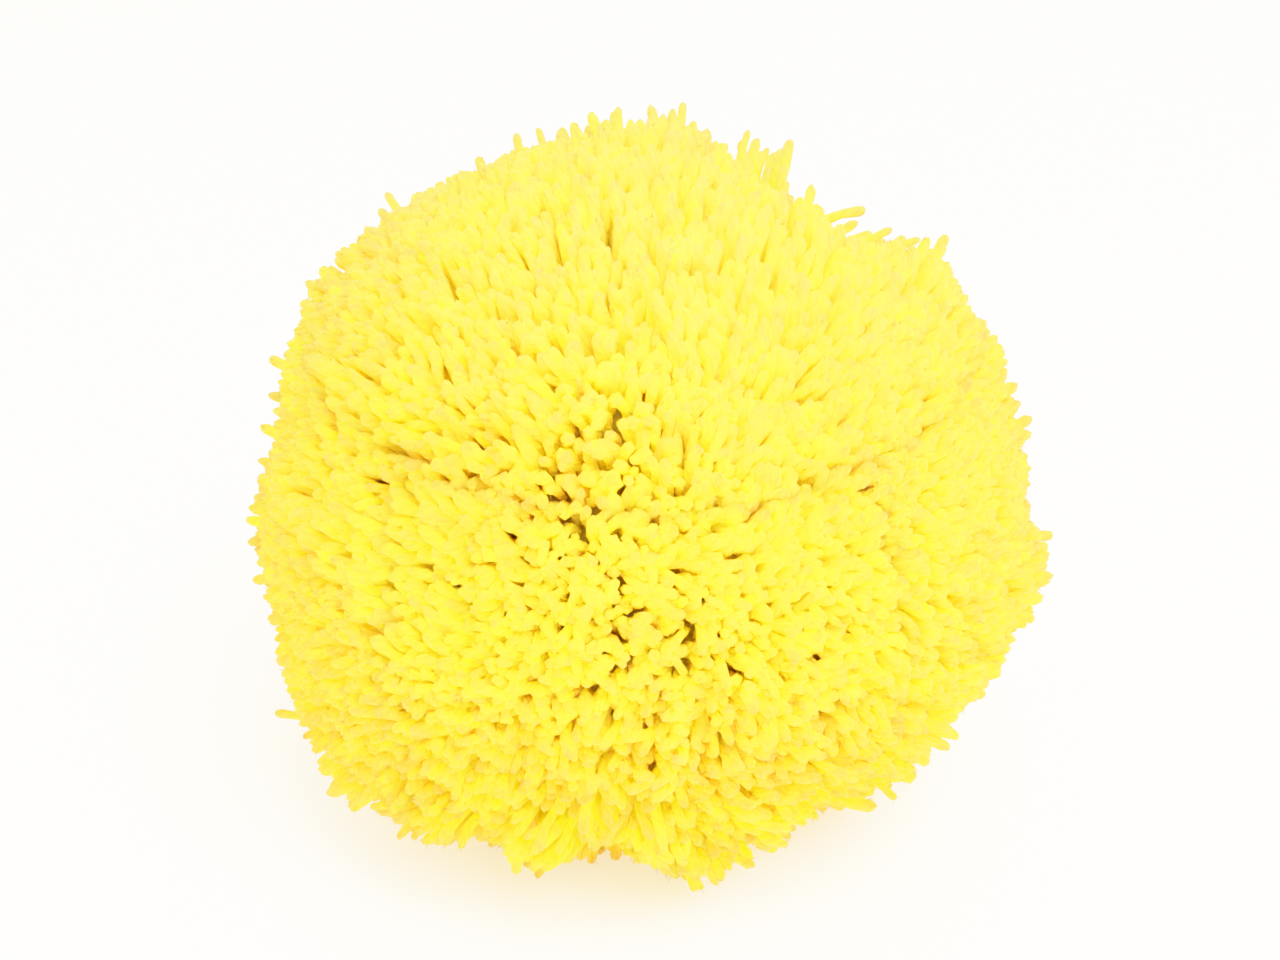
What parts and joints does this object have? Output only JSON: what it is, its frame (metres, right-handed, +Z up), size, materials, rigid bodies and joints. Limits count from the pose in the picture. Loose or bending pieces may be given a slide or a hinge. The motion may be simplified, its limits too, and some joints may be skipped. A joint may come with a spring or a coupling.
{
  "type": "yarn pom pom",
  "caption": "Dense ball of cut yellow yarn tied at its middle, slightly flattened where it rests, used as a soft trimming.",
  "frame": {"origin": "centre of the pom pom's outline, on the plane that it rests on", "axes": "+Z up from the flat spot, -Y towards the front"},
  "size_m": [0.0982, 0.0973, 0.0883],
  "materials": {
    "yarn": "soft, dull lemon-yellow knitting yarn with cut, bloomed ends"
  },
  "bodies": {
    "root": {"pom_pom": "yarn"}
  },
  "joints": []
}
